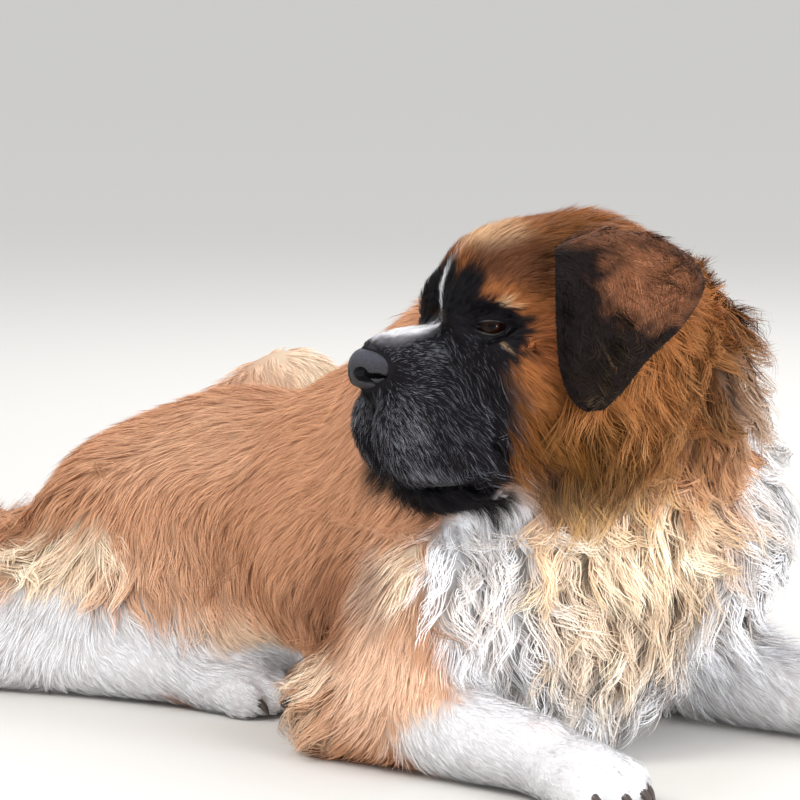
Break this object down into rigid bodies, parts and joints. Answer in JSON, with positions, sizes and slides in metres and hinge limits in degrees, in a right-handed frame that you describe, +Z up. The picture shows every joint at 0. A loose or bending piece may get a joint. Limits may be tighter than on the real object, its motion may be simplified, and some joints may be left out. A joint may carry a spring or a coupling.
{
  "type": "saint bernard",
  "caption": "Life-size saint bernard lying on its chest with its head turned to its right, in a red-brown and white long coat with a dark mask, for display.",
  "frame": {"origin": "centre of the bounding box's underside, on the floor that the dog lies on", "axes": "+Z up from the floor, +X to the right of the picture's view, +Y away from the picture's camera"},
  "size_m": [1.1034, 1.1918, 0.533],
  "materials": {
    "claw": "dark horn",
    "collar": "white webbing",
    "cream_fur": "cream coat",
    "eye": "wet dark amber eye",
    "mask_fur": "black mask coat",
    "nose_skin": "damp slate-black nose leather",
    "orange_fur": "red-brown coat",
    "white_fur": "white coat"
  },
  "bodies": {
    "root": {"chest": "white_fur", "torso": "orange_fur", "rump": "orange_fur", "neck": "cream_fur", "head": "orange_fur", "lower_jaw": "mask_fur", "nose": "nose_skin", "ear_left": "mask_fur", "ear_right": "mask_fur", "eye_left": "eye", "eye_right": "eye", "upper_arm_left": "white_fur", "upper_arm_right": "orange_fur", "forearm_left": "white_fur", "forearm_right": "white_fur", "front_paw_left": "white_fur", "front_paw_right": "white_fur", "thigh_left": "cream_fur", "thigh_right": "orange_fur", "shank_left": "white_fur", "shank_right": "white_fur", "hind_foot_left": "white_fur", "hind_foot_right": "white_fur", "tail": "orange_fur", "tail_tip": "white_fur", "collar": "collar", "collar_tab": "collar", "claw_front_left_1": "claw", "claw_front_left_2": "claw", "claw_front_left_3": "claw", "claw_front_left_4": "claw", "claw_front_right_1": "claw", "claw_front_right_2": "claw", "claw_front_right_3": "claw", "claw_front_right_4": "claw", "claw_hind_left_1": "claw", "claw_hind_left_2": "claw", "claw_hind_left_3": "claw", "claw_hind_left_4": "claw", "claw_hind_right_1": "claw", "claw_hind_right_2": "claw", "claw_hind_right_3": "claw", "claw_hind_right_4": "claw"}
  },
  "joints": []
}
